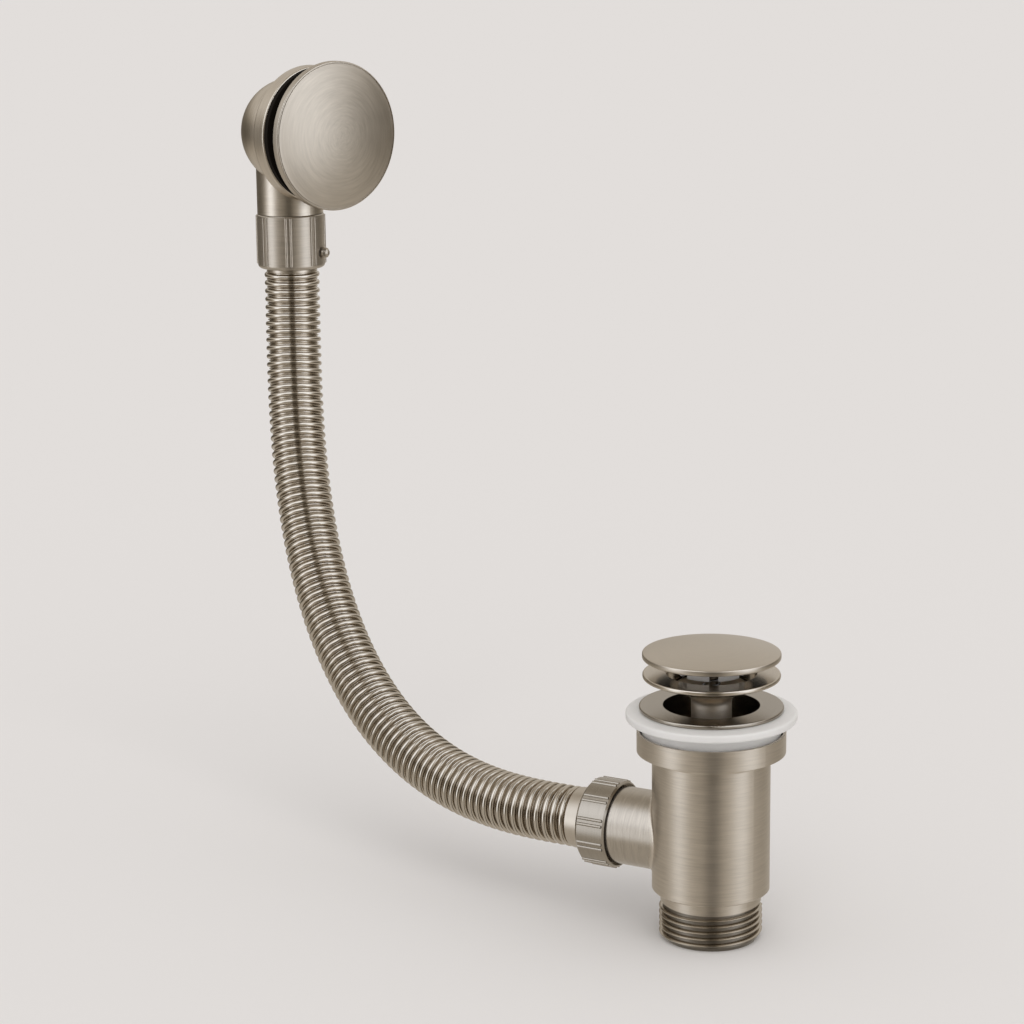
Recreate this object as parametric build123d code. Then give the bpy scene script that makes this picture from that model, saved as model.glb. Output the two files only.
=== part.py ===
from build123d import *
import math
import os

# Bath waste and overflow with a click plug, a side branch and a corrugated overflow hose.
# Millimetres. +Z is up the waste's axis and the origin is the bottom centre of its threaded tail.
# +X is the way the overflow plate faces; the overflow stands behind the waste, toward -X.

# Waste body
thread_radius = 23.9
thread_length = 17.3
neck_radius = 23.3
tail_length = 23.4
tail_bore_radius = 20.6
tail_bore_depth = 27.0
barrel_radius = 27.2
barrel_wall = 2.85
barrel_top = 89.7
collar_radius = 34.2
collar_height = 9.6
collar_wall = 1.3
collar_floor = 2.6
collar_cove = 3.2
tail_chamfer = 1.4

# Spider that carries the drain flange's neck inside the barrel
boss_radius = 12.4
boss_bottom = 78.0
boss_height = 10.0
boss_lip = 2.0
spider_arms = 3
spider_arm_width = 3.2

# Side branch and its union nut
branch_height = 46.4
branch_turn = 19.3
branch_radius = 18.2
branch_bore_radius = 14.9
branch_reach = 52.0
branch_root_round = 1.8
nut_start = 45.6
nut_end = 61.0
nut_radius = 20.4
nut_mouth_radius = 19.3
nut_mouth_depth = 2.2
nut_lip = 4.0
nut_bevel = 0.8
nut_rib_pairs = 11
nut_rib_turn = 24.8
nut_rib_split = 2.7
lower_cuff_end = 69.3
lower_cuff_radius = 15.2

# Rib pairs on the union nut and on the upper collar
rib_width = 1.5
rib_rise = 0.55
upper_rib_split = 2.5

# White body seal and throat ring
seal_radius = 39.2
seal_lip_bottom = 104.9
seal_step_radius = 31.9
seal_edge_drop = 0.9
seal_edge_round = 1.0
ring_radius = 33.1
ring_top = 111.4
ring_thickness = 2.0
ring_bore_radius = 22.2
ring_tail_wall = 2.05
ring_tail_length = 20.5
ring_edge_round = 0.7

# Drain flange with its trumpet and neck
floor_gap = 13.0
flange_radius = 31.5
flange_thickness = 2.2
flange_edge_round = 0.8
flange_mouth_radius = 20.8
flange_skirt_wall = 1.1
flange_skirt_depth = 1.6
dish_radius = 17.5
dish_drop = 4.8
waist_radius = 12.6
waist_drop = 7.0
throat_radius = 10.2
throat_drop = 8.8
neck_drop = 11.6
trumpet_wall = 1.2
neck_tube_radius = 9.3
neck_tube_wall = 1.4

# Click plug
plug_lift = 6.4
plug_travel = 5.5
cap_radius = 31.65
cap_rim = 3.7
cap_dome = 1.8
cap_round = 1.3
cap_under_round = 0.8
hub_radius = 15.0
hub_depth = 6.5
hub_wall = 3.2
hub_web = 1.6
hub_slots = 6
hub_slot_width = 4.2
plug_seal_thickness = 0.8
plug_seal_inner = 19.0
plug_seal_outer = 25.5
stem_radius = 3.1
stem_length = 36.4
stud_radius = 3.9
stud_length = 3.4
stem_collar_radius = 5.8
cartridge_radius = 5.4
cartridge_length = 30.0
cartridge_floor = 2.0
fin_count = 3
fin_width = 2.4
fin_height = 8.0
pin_radius = 0.8
pin_length = 8.4
pin_height = 16.0
spring_wire = 0.45
spring_turns = 6

# Overflow head
overflow_reach = 309.0
overflow_height = 351.8
spigot_radius = 17.1
spigot_tail_radius = 15.0
spigot_bore_radius = 12.6
elbow_ball_radius = 27.8
elbow_ball_forward = 6.2
elbow_wall = 3.2
elbow_bore_radius = 21.0
head_flange_radius = 34.6
head_flange_front = 25.3
head_flange_thickness = 8.5
head_flange_round = 1.0
gasket_radius = 34.0
gasket_thickness = 2.7
wall_gap = 4.6
strainer_flange_radius = 33.4
strainer_flange_thickness = 2.0
strainer_tube_wall = 2.2
strainer_tube_length = 15.0
strainer_boss_radius = 7.5
strainer_boss_depth = 7.0
strainer_arms = 4
strainer_arm_width = 3.0
plate_radius = 37.6
plate_back = 37.6
plate_rim = 2.4
plate_bevel = 1.8
plate_bevel_depth = 2.4
plate_dome = 4.4
plate_shell = 2.0
plate_post_radius = 3.95
plate_post_length = 15.0
groove_width = 0.5
groove_depth = 0.45
grub_radius = 1.5

# Upper collar on the spigot
upper_collar_drop = 42.5
upper_collar_length = 28.1
upper_collar_radius = 17.45
upper_collar_lip = 4.4
upper_collar_round = 2.0
upper_rib_pairs = 8
upper_rib_turn = -41.1
stud_turn = 29.0
stud_rise = 8.1
stud_head_radius = 2.9
stud_head_reach = 3.0

# Corrugated hose
hose_top_gap = 1.7
hose_radius = 14.35
hose_valley_radius = 12.3
hose_bore_radius = 11.0
hose_pitch = 4.27
hose_drop = 89.9
hose_run = 59.6
upper_bend_forward = 39.7
upper_bend_side = -36.3
upper_bend_rise = 75.5
lower_bend_forward = 90.2
lower_bend_side = -38.9
lower_bend_rise = -17.1
bore_stations = 36
barb_length = 8.0
barb_wall = 1.4
barb_gap = 0.5
cuff_flange = 2.5
cuff_seal = 2.5

# Clearances
seat_gap = 0.02
sliding_gap = 0.06
thread_gap = 0.1
loose_gap = 0.3

# Levels and places that follow from the sizes above
barrel_bore_radius = barrel_radius - barrel_wall
collar_bottom = barrel_top
collar_top = collar_bottom + collar_height
socket_floor = collar_bottom + collar_floor
socket_radius = collar_radius - collar_wall
ring_bottom = ring_top - ring_thickness
flange_bottom = ring_top + floor_gap
flange_top = flange_bottom + flange_thickness
cap_bottom = flange_top + plug_lift
cap_rim_top = cap_bottom + cap_rim
neck_bottom = boss_bottom + boss_lip
neck_bore_radius = neck_tube_radius - neck_tube_wall
cartridge_bottom = neck_bottom + boss_lip
cartridge_top = cartridge_bottom + cartridge_length
stem_top = cap_bottom - hub_web
stem_bottom = stem_top - stem_length
spring_seat = stem_top - hub_depth + hub_web + 0.2
pin_level = cartridge_bottom + pin_height
branch_dir = Vector(-math.cos(math.radians(branch_turn)), -math.sin(math.radians(branch_turn)), 0)
branch_origin = Vector(0, 0, branch_height)
barb_radius = hose_bore_radius - barb_gap
upper_collar_top = overflow_height - upper_collar_drop
upper_collar_bottom = upper_collar_top - upper_collar_length
hose_top = upper_collar_bottom - hose_top_gap
stud_height = upper_collar_bottom + stud_rise
spigot_shoulder = upper_collar_top + loose_gap
upper_flange_bottom = upper_collar_bottom + upper_collar_lip
upper_seal_bottom = upper_flange_bottom + cuff_flange
spigot_bottom = upper_seal_bottom + cuff_seal
strainer_back = head_flange_front + gasket_thickness + wall_gap
strainer_front = strainer_back + strainer_flange_thickness


def turned(*outline):
    """A solid turned about Z from its (radius, height) outline."""
    return revolve(make_face(Plane.XZ * Polyline(*outline, close=True)), Axis.Z)


def tube(outer, inner, bottom, top):
    """A round tube about Z."""
    return turned((inner, bottom), (outer, bottom), (outer, top), (inner, top))


def rod(radius, bottom, top):
    """A round bar about Z."""
    return Pos(0, 0, bottom) * Cylinder(radius, top - bottom, align=(Align.CENTER, Align.CENTER, Align.MIN))


def bar(length, width, height):
    """A block that starts on Z and runs along +X, standing on Z = 0."""
    return Box(length, width, height, align=(Align.MIN, Align.CENTER, Align.MIN))


def circles(solid, radius, level):
    """The circular edges of one radius at one height."""
    rings = solid.edges().filter_by(GeomType.CIRCLE)
    return [ring for ring in rings if abs(ring.radius - radius) < 0.01 and abs(ring.center().Z - level) < 0.01]


def dome_level(radius, rim_radius, rim_level, height):
    """Height of a round dome, its centre on the axis, at a radius."""
    ball = (rim_radius ** 2 + height ** 2) / (2 * height)
    return rim_level + height - ball + math.sqrt(ball ** 2 - radius ** 2)


def on_branch(solid):
    """Place a piece made about Z on the side branch's axis, its height run out from the waste's axis."""
    return Plane(origin=branch_origin, x_dir=Vector(0, 0, 1), z_dir=branch_dir).location * solid


def on_overflow(solid):
    """Place a piece made about Z on the overflow's axis, its height run forward to +X."""
    origin = (-overflow_reach, 0, overflow_height)
    return Plane(origin=origin, x_dir=(0, 0, 1), z_dir=(1, 0, 0)).location * solid


def on_spigot(solid):
    """Place a piece made about Z on the overflow spigot's axis."""
    return Pos(-overflow_reach, 0, 0) * solid


def rib_ring(radius, bottom, top, pairs, turn, split):
    """Pairs of fine round ribs that stand up the outside of a nut or collar."""
    ribs = []
    middle = radius + rib_rise - rib_width / 2
    for index in range(pairs):
        for side in (-0.5, 0.5):
            rib = Pos(middle, side * split, 0) * rod(rib_width / 2, bottom, top)
            ribs.append(Rot(0, 0, turn + index * 360 / pairs) * rib)
    return ribs


def waste_body():
    thread_top = thread_length
    outside = turned(
        (0, 0), (thread_radius - tail_chamfer, 0), (thread_radius, tail_chamfer),
        (thread_radius, thread_top), (neck_radius, thread_top + 0.6), (neck_radius, tail_length),
        (barrel_radius - 0.5, tail_length), (barrel_radius, tail_length + 0.5),
        (barrel_radius, collar_bottom), (collar_radius, collar_bottom), (collar_radius, collar_top),
        (0, collar_top))
    outside = fillet(circles(outside, barrel_radius, collar_bottom), collar_cove)
    body = outside + on_branch(rod(branch_radius, 0, branch_reach))
    root = [e for e in body.edges() if e.geom_type not in (GeomType.CIRCLE, GeomType.LINE)]
    body = fillet(root, branch_root_round)
    inside = turned(
        (0, -1), (tail_bore_radius, -1), (tail_bore_radius, tail_bore_depth),
        (barrel_bore_radius, tail_bore_depth + 2), (barrel_bore_radius, socket_floor),
        (socket_radius, socket_floor), (socket_radius, collar_top + 1), (0, collar_top + 1))
    body = body - inside - on_branch(rod(branch_bore_radius, 0, branch_reach + 1))
    boss = tube(boss_radius, neck_tube_radius + thread_gap, neck_bottom, boss_bottom + boss_height)
    boss = boss + tube(boss_radius, neck_bore_radius, boss_bottom, neck_bottom)
    for index in range(spider_arms):
        reach = barrel_bore_radius + 0.6 - (boss_radius - 0.8)
        arm = Pos(boss_radius - 0.8, 0, boss_bottom) * bar(reach, spider_arm_width, boss_height)
        boss = boss + Rot(0, 0, 60 + index * 360 / spider_arms) * arm
    return body + boss


def body_seal():
    lip_top = ring_bottom
    outline = turned(
        (ring_bore_radius + ring_tail_wall + loose_gap, socket_floor),
        (seal_step_radius, socket_floor), (seal_step_radius, seal_lip_bottom),
        (seal_radius, seal_lip_bottom), (seal_radius, lip_top - seal_edge_drop), (ring_radius, lip_top),
        (ring_bore_radius + ring_tail_wall + loose_gap, lip_top))
    rims = circles(outline, seal_radius, lip_top - seal_edge_drop) + circles(outline, seal_radius, seal_lip_bottom)
    return fillet(rims, seal_edge_round)


def throat_ring():
    tail_radius = ring_bore_radius + ring_tail_wall
    solid = turned(
        (ring_bore_radius, ring_top), (ring_bore_radius, ring_bottom - ring_tail_length),
        (tail_radius, ring_bottom - ring_tail_length), (tail_radius, ring_bottom),
        (ring_radius, ring_bottom), (ring_radius, ring_top))
    return fillet(circles(solid, ring_radius, ring_top) + circles(solid, ring_radius, ring_bottom), ring_edge_round)


def drain_flange():
    skirt_bottom = flange_bottom - flange_skirt_depth
    skirt_radius = flange_mouth_radius + flange_skirt_wall
    straight = flange_bottom - neck_drop
    bends = [(dish_radius, flange_bottom - dish_drop), (waist_radius, flange_bottom - waist_drop),
             (throat_radius, flange_bottom - throat_drop)]
    inner_bends = [(radius - trumpet_wall, level + trumpet_wall) for radius, level in reversed(bends)]
    mouth_foot = skirt_bottom + trumpet_wall
    outer = Polyline((neck_tube_radius, straight), (neck_tube_radius, neck_bottom), (neck_bore_radius, neck_bottom),
                     (neck_bore_radius, straight))
    inner_curve = Spline((neck_bore_radius, straight), *inner_bends, (flange_mouth_radius, mouth_foot),
                         tangents=[(0, 1), (0.5, 1)])
    rim = Polyline((flange_mouth_radius, mouth_foot), (flange_mouth_radius, flange_top),
                   (flange_radius, flange_top), (flange_radius, flange_bottom),
                   (skirt_radius, flange_bottom), (skirt_radius, skirt_bottom))
    outer_curve = Spline((skirt_radius, skirt_bottom), *bends, (neck_tube_radius, straight),
                         tangents=[(-0.5, -1), (0, -1)])
    face = make_face(Plane.XZ * (outer + inner_curve + rim + outer_curve))
    solid = revolve(face, Axis.Z)
    rims = circles(solid, flange_radius, flange_top) + circles(solid, flange_radius, flange_bottom)
    solid = fillet(rims, flange_edge_round)
    return solid + tube(neck_bore_radius + 0.3, cartridge_radius + 1.0, neck_bottom, cartridge_bottom)


def click_body():
    shell = tube(cartridge_radius, stem_radius + sliding_gap, cartridge_bottom + cartridge_floor, cartridge_top)
    shell = shell + rod(cartridge_radius, cartridge_bottom, cartridge_bottom + cartridge_floor)
    reach = neck_bore_radius - seat_gap - (cartridge_radius - 0.6)
    for index in range(fin_count):
        fin = Pos(cartridge_radius - 0.6, 0, cartridge_bottom) * bar(reach, fin_width, fin_height)
        fin = fin & rod(neck_bore_radius - seat_gap, cartridge_bottom, cartridge_top)
        shell = shell + Rot(0, 0, index * 360 / fin_count) * fin
    slot_height = plug_travel + 2 * pin_radius + 2 * loose_gap
    slot_bottom = pin_level - plug_travel - pin_radius - loose_gap
    slot_width = 2 * (pin_radius + loose_gap)
    slot = Pos(0, 0, slot_bottom) * Box(slot_width, 4 * cartridge_radius, slot_height,
                                        align=(Align.CENTER, Align.CENTER, Align.MIN))
    return shell - slot


def click_spring():
    length = spring_seat - cartridge_top
    coil_radius = stem_radius + 0.35 + spring_wire
    height = length - 2 * spring_wire - 2 * seat_gap
    path = Helix(pitch=height / spring_turns, height=height, radius=coil_radius)
    start = Plane(origin=path @ 0, z_dir=path % 0)
    wire = sweep(start * Circle(spring_wire), path=path)
    return Pos(0, 0, cartridge_top + spring_wire + seat_gap) * wire


def latch_pin():
    half = pin_length / 2
    pin = rod(pin_radius, -half, half)
    return Pos(0, 0, pin_level) * Rot(90, 0, 0) * pin


def plug_stem():
    shaft = rod(stem_radius, stem_bottom, stem_top)
    shaft = shaft + tube(stem_collar_radius, stem_radius - 0.5, spring_seat, stem_top)
    shaft = shaft + rod(stud_radius, stem_top, stem_top + hub_web + stud_length)
    half = pin_length / 2 + 1
    hole = Pos(0, 0, pin_level) * Rot(90, 0, 0) * rod(pin_radius + seat_gap, -half, half)
    return shaft - hole


def plug_hub():
    hub = tube(hub_radius, hub_radius - hub_wall, cap_bottom - hub_depth, cap_bottom)
    hub = hub + tube(hub_radius - hub_wall + 0.3, stud_radius + thread_gap, cap_bottom - hub_web, cap_bottom)
    for index in range(hub_slots):
        slot = Pos(0, 0, cap_bottom - hub_depth - 1) * bar(hub_radius + 1, hub_slot_width, hub_depth + 1 - hub_web)
        hub = hub - Rot(0, 0, upper_rib_turn + index * 360 / hub_slots) * slot
    return hub


def plug_seal():
    return tube(plug_seal_outer, plug_seal_inner, cap_bottom - plug_seal_thickness, cap_bottom)


def plug_cap():
    top = cap_rim_top + cap_dome
    half = cap_radius / 2
    dome = ThreePointArc((cap_radius, cap_rim_top), (half, dome_level(half, cap_radius, cap_rim_top, cap_dome)),
                         (0, top))
    sides = Polyline((0, top), (0, cap_bottom), (cap_radius, cap_bottom), (cap_radius, cap_rim_top))
    cap = revolve(make_face(Plane.XZ * (dome + sides)), Axis.Z)
    cap = fillet(circles(cap, cap_radius, cap_rim_top), cap_round)
    cap = fillet(circles(cap, cap_radius, cap_bottom), cap_under_round)
    hole = rod(stud_radius + thread_gap, cap_bottom - 1, cap_bottom + stud_length + loose_gap)
    return cap - hole


def branch_nut():
    lip_start = nut_end - nut_lip
    nut = turned(
        (nut_mouth_radius, nut_start), (nut_radius - nut_bevel, nut_start), (nut_radius, nut_start + nut_bevel),
        (nut_radius, nut_end - 1.4), (nut_radius - 1.4, nut_end), (lower_cuff_radius + loose_gap, nut_end),
        (lower_cuff_radius + loose_gap, lip_start), (branch_radius + thread_gap, lip_start),
        (branch_radius + thread_gap, nut_start + nut_mouth_depth), (nut_mouth_radius, nut_start + nut_mouth_depth))
    for rib in rib_ring(nut_radius, nut_start + 1.2, nut_end - 1.6, nut_rib_pairs, nut_rib_turn,
                        nut_rib_split):
        nut = nut + rib
    return on_branch(nut)


def branch_seal():
    return on_branch(tube(branch_radius - 0.4, branch_bore_radius - 2, branch_reach, branch_reach + cuff_seal))


def hose_lower_cuff():
    flange_start = branch_reach + cuff_seal
    flange_end = nut_end - nut_lip
    cuff = turned(
        (barb_radius - barb_wall, flange_start), (branch_radius - 0.4, flange_start),
        (branch_radius - 0.4, flange_end), (lower_cuff_radius, flange_end),
        (lower_cuff_radius, nut_end + 1.0), (lower_cuff_radius - 1.0, lower_cuff_end),
        (barb_radius, lower_cuff_end),
        (barb_radius, lower_cuff_end + barb_length),
        (barb_radius - barb_wall, lower_cuff_end + barb_length))
    return on_branch(cuff)


def hose_upper_cuff():
    cuff = turned(
        (barb_radius - barb_wall, upper_seal_bottom), (spigot_tail_radius, upper_seal_bottom),
        (spigot_tail_radius, upper_flange_bottom), (hose_valley_radius + 0.6, upper_flange_bottom),
        (hose_valley_radius + 0.6, hose_top), (barb_radius, hose_top),
        (barb_radius, hose_top - barb_length), (barb_radius - barb_wall, hose_top - barb_length))
    return on_spigot(cuff)


def upper_seal():
    return on_spigot(tube(spigot_tail_radius, spigot_bore_radius - 0.6, upper_seal_bottom, spigot_bottom))


def hose_line():
    """The hose's centre line, from under the upper collar down and round into the branch."""
    top = Vector(-overflow_reach, 0, hose_top)
    end = branch_origin + branch_dir * lower_cuff_end
    upper_bend = Vector(upper_bend_forward - overflow_reach, upper_bend_side, branch_height + upper_bend_rise)
    lower_bend = Vector(lower_bend_forward - overflow_reach, lower_bend_side, branch_height + lower_bend_rise)
    return Bezier(top, top - Vector(0, 0, hose_drop), upper_bend, lower_bend, end + branch_dir * hose_run, end)


def ring_across(line, share, radius):
    """A circle across the hose at a share of its length."""
    along = line % share
    across = Vector(0, 1, 0)
    across = across - along * across.dot(along)
    return Wire.make_circle(radius, Plane(origin=line @ share, x_dir=across, z_dir=along))


def corrugated_hose():
    line = hose_line()
    waves = round(line.length / hose_pitch)
    rings = [ring_across(line, 0, hose_valley_radius)]
    for wave in range(waves):
        rings.append(ring_across(line, (wave + 0.5) / waves, hose_radius))
        rings.append(ring_across(line, (wave + 1) / waves, hose_valley_radius))
    outside = Solid.make_loft(rings, ruled=True)
    shares = [index / bore_stations for index in range(bore_stations + 1)]
    bore = Solid.make_loft([ring_across(line, share, hose_bore_radius) for share in shares], ruled=True)
    return outside - bore


def upper_collar():
    bore = spigot_tail_radius + thread_gap
    solid = turned(
        (hose_valley_radius + 0.6 + loose_gap, upper_collar_bottom), (upper_collar_radius, upper_collar_bottom),
        (upper_collar_radius, upper_collar_top - 0.5), (upper_collar_radius - 0.5, upper_collar_top),
        (bore, upper_collar_top), (bore, upper_flange_bottom),
        (hose_valley_radius + 0.6 + loose_gap, upper_flange_bottom))
    solid = fillet(circles(solid, upper_collar_radius, upper_collar_bottom), upper_collar_round)
    ribs = rib_ring(upper_collar_radius, upper_collar_bottom + 2.2, upper_collar_top - 0.8, upper_rib_pairs,
                    upper_rib_turn, upper_rib_split)
    for rib in ribs:
        solid = solid + rib
    hole = rod(1.6 + seat_gap, 0, upper_collar_radius + 3)
    solid = solid - Pos(0, 0, stud_height) * Rot(0, 0, stud_turn) * Rot(0, 90, 0) * hole
    return on_spigot(solid)


def collar_stud():
    seat = upper_collar_radius + rib_rise + 0.1
    stud = turned(
        (0, spigot_tail_radius + 0.3), (1.6, spigot_tail_radius + 0.3), (1.6, seat),
        (stud_head_radius, seat), (stud_head_radius, seat + 0.9), (stud_head_radius - 0.5, seat + 2.2),
        (stud_head_radius - 1.6, seat + stud_head_reach), (0, seat + stud_head_reach))
    return on_spigot(Pos(0, 0, stud_height) * Rot(0, 0, stud_turn) * Rot(0, 90, 0) * stud)


def overflow_elbow():
    flange_back = head_flange_front - head_flange_thickness
    flange = rod(head_flange_radius, flange_back, head_flange_front)
    rims = circles(flange, head_flange_radius, flange_back) + circles(flange, head_flange_radius, head_flange_front)
    flange = fillet(rims, head_flange_round)
    ball_back = (0, elbow_ball_forward - elbow_ball_radius)
    ball_side = (elbow_ball_radius, elbow_ball_forward)
    slant = elbow_ball_radius * math.sqrt(0.5)
    ball = ThreePointArc(ball_back, (slant, elbow_ball_forward - slant), ball_side)
    sides = Polyline(ball_side, (elbow_ball_radius, flange_back + 1), (0, flange_back + 1), ball_back)
    head = on_overflow(revolve(make_face(Plane.XZ * (ball + sides)), Axis.Z) + flange)
    spigot = on_spigot(rod(spigot_radius, spigot_shoulder, overflow_height))
    spigot_tail = on_spigot(rod(spigot_tail_radius, spigot_bottom, spigot_shoulder + 1))
    elbow = head + spigot + spigot_tail
    hollow = Pos(0, 0, elbow_ball_forward) * Sphere(elbow_ball_radius - elbow_wall)
    elbow = elbow - on_overflow(hollow)
    elbow = elbow - on_overflow(rod(elbow_bore_radius, elbow_ball_forward, head_flange_front + 1))
    return elbow - on_spigot(rod(spigot_bore_radius, spigot_bottom - 1, overflow_height))


def overflow_gasket():
    return on_overflow(tube(gasket_radius, elbow_bore_radius + 0.6, head_flange_front,
                            head_flange_front + gasket_thickness))


def overflow_strainer():
    back = strainer_back
    front = strainer_front
    tube_radius = elbow_bore_radius - thread_gap
    solid = turned(
        (tube_radius - strainer_tube_wall, back - strainer_tube_length), (tube_radius, back - strainer_tube_length),
        (tube_radius, back), (strainer_flange_radius, back), (strainer_flange_radius, front),
        (tube_radius - strainer_tube_wall, front))
    solid = solid + tube(strainer_boss_radius, plate_post_radius + sliding_gap, front - strainer_boss_depth, front)
    for index in range(strainer_arms):
        start = strainer_boss_radius - 0.6
        reach = tube_radius - strainer_tube_wall + 0.6 - start
        arm = Pos(start, 0, front - strainer_boss_depth) * bar(reach, strainer_arm_width, strainer_boss_depth)
        solid = solid + Rot(0, 0, 45 + index * 360 / strainer_arms) * arm
    hole = Pos(0, 0, front - strainer_boss_depth / 2) * Rot(0, -90, 0) * rod(grub_radius + seat_gap, 0, 12)
    return on_overflow(solid - hole)


def grub_screw():
    level = strainer_front - strainer_boss_depth / 2
    screw = rod(grub_radius, plate_post_radius + seat_gap, strainer_boss_radius)
    socket = rod(0.75, strainer_boss_radius - 1.5, strainer_boss_radius + 1)
    return on_overflow(Pos(0, 0, level) * Rot(0, -90, 0) * (screw - socket))


def face_plate():
    back = plate_back
    edge = back + plate_rim
    face = edge + plate_bevel_depth
    apex = face + plate_dome
    face_radius = plate_radius - plate_bevel
    lip_radius = face_radius - groove_width
    inner_radius = plate_radius - plate_shell
    inner_rim = edge - 0.4
    inner_height = apex - plate_shell - inner_rim
    post_end = apex - plate_shell - plate_post_length
    half = inner_radius / 2
    post_top = dome_level(plate_post_radius, inner_radius, inner_rim, inner_height)
    dome = ThreePointArc((lip_radius, face), (half, dome_level(half, lip_radius, face, plate_dome)), (0, apex))
    post = Polyline((0, apex), (0, post_end), (plate_post_radius, post_end), (plate_post_radius, post_top))
    inside = ThreePointArc((plate_post_radius, post_top),
                           (half, dome_level(half, inner_radius, inner_rim, inner_height)),
                           (inner_radius, inner_rim))
    rim = Polyline((inner_radius, inner_rim), (inner_radius, back), (plate_radius, back), (plate_radius, edge),
                   (face_radius, face), (face_radius, face - groove_depth), (lip_radius, face - groove_depth),
                   (lip_radius, face))
    outline = make_face(Plane.XZ * (dome + post + inside + rim))
    return on_overflow(revolve(outline, Axis.Z))


makers = [
    waste_body, body_seal, throat_ring, drain_flange, click_body, click_spring, latch_pin, plug_stem,
    plug_hub, plug_seal, plug_cap, branch_nut, branch_seal, hose_lower_cuff, hose_upper_cuff, upper_seal,
    corrugated_hose, upper_collar, collar_stud, overflow_elbow, overflow_gasket, overflow_strainer,
    grub_screw, face_plate,
]

os.makedirs("parts", exist_ok=True)
for make in makers:
    export_step(make(), "parts/" + make.__name__ + ".step")
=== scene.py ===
import math

import bpy
from mathutils import Matrix, Vector


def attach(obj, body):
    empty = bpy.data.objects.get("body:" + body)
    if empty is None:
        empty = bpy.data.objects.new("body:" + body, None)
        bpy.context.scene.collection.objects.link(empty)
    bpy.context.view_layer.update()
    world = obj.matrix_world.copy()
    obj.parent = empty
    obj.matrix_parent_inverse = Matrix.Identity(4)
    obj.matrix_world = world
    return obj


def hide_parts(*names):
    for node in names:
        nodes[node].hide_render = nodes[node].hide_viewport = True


# Bath waste and overflow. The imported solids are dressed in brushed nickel, and the forms that they only
# hint at are modelled here: the hose's beads, the tail's thread, and the edges of the plug's cap and of
# the overflow's plate.
# The frame's origin is the bottom centre of the waste's threaded tail, with +Z up and +X forward.

MM = 0.001

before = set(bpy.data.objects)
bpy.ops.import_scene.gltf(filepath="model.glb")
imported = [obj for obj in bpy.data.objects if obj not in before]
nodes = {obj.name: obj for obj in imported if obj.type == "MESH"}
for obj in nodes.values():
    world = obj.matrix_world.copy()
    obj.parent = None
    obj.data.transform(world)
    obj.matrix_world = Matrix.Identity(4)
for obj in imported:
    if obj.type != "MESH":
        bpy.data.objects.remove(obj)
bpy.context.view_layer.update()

# Places and sizes of the part, in metres and radians
BRANCH_TURN = math.radians(19.3)
BRANCH_HEIGHT = 46.4 * MM
BRANCH_HIGH = 66.0 * MM
BRANCH_CLEAR = 26.0 * MM
BARREL_RADIUS = 27.2 * MM
BRANCH_ROOT = BARREL_RADIUS + 0.3 * MM
FLANGE_BOTTOM = 124.4 * MM
NECK_TOP_RADIUS = 15.0 * MM
SPIGOT_BACK = -309.0 * MM
SPIGOT_HIGH = 322.0 * MM

THREAD_RADIUS = 23.9 * MM
THREAD_ROOT = 21.9 * MM
THREAD_TOP = 17.3 * MM
THREAD_PITCH = 3.0 * MM
THREAD_TURNS = 4.9
THREAD_FLATNESS = 0.42
THREAD_SIDES = 14
THREAD_STEPS = 72
THREAD_START_TURN = math.radians(78.0)
THREAD_START_HEIGHT = 1.2 * MM
TAIL_FOOT_RADIUS = 22.5 * MM
TAIL_FOOT_INSET = 0.3 * MM

CAP_BOTTOM = 133.0 * MM
CAP_RADIUS = 31.65 * MM
CAP_RIM_FOOT = 0.6 * MM
CAP_RIM_TOP = 3.3 * MM
CAP_ROUND = 0.7 * MM
CAP_APEX = 6.4 * MM
CAP_SEAT_RADIUS = 26.0 * MM
CAP_HOLE = 4.0 * MM
CAP_HOLE_DEPTH = 3.7 * MM
CAP_AROUND = 128
CAP_DOME_STEPS = 20

PLATE_HEIGHT = 351.8 * MM
PLATE_BACK = 37.6 * MM
PLATE_RADIUS = 37.6 * MM
PLATE_RIM = 2.9 * MM
PLATE_EDGE = 0.7 * MM
PLATE_GROOVE = 0.35 * MM
PLATE_GROOVE_DEPTH = 0.5 * MM
PLATE_FACE_ROUND = 0.25 * MM
PLATE_FACE_DROP = 0.2 * MM
PLATE_APEX = 9.2 * MM
PLATE_SHELL = 2.0 * MM
PLATE_INSIDE_DROP = 0.4 * MM
PLATE_POST_RADIUS = 3.95 * MM
PLATE_POST_END = -7.8 * MM
PLATE_AROUND = 144
PLATE_DOME_STEPS = 24
PLATE_INSIDE_STEPS = 14
PLATE_ROUND_STEPS = 4
EDGE_STEPS = 5

# The control points of the hose's centre line, in millimetres
HOSE_ROUTE = (
    (-309.0, 0.0, 279.5), (-309.0, 0.0, 189.6), (-269.3, -36.3, 121.9), (-218.8, -38.9, 29.3),
    (-121.663, -42.603, 46.4), (-65.409, -22.905, 46.4))
HOSE_ROUTE_STEPS = 64
HOSE_WAVES = 91
HOSE_ROUND = 48
HOSE_BORE = 11.0 * MM
HOSE_WELD = 0.02 * MM
# Half a wave, as shares of its pitch and radii in millimetres: half a thin ridge, its groove, half the bead
HOSE_WAVE = (
    (0.0, 13.25), (0.055, 13.1), (0.11, 12.4), (0.17, 12.45), (0.205, 13.3), (0.27, 13.95),
    (0.37, 14.27), (0.5, 14.35))

# How near two vertices are welded, and how near a vertex counts as at a place, on a wall or in an outline
WELD = 0.001 * MM
NEAR = 0.05 * MM
NEAR_WALL = 0.1 * MM
SAME_RADIUS = 0.01 * MM
SAME_LEVEL = 0.002 * MM
# The radius at which a turned piece's outline ends, before its pole is closed
POLE = 0.4 * MM
SMOOTH_ANGLE = math.radians(35)


# Finishes

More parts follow.
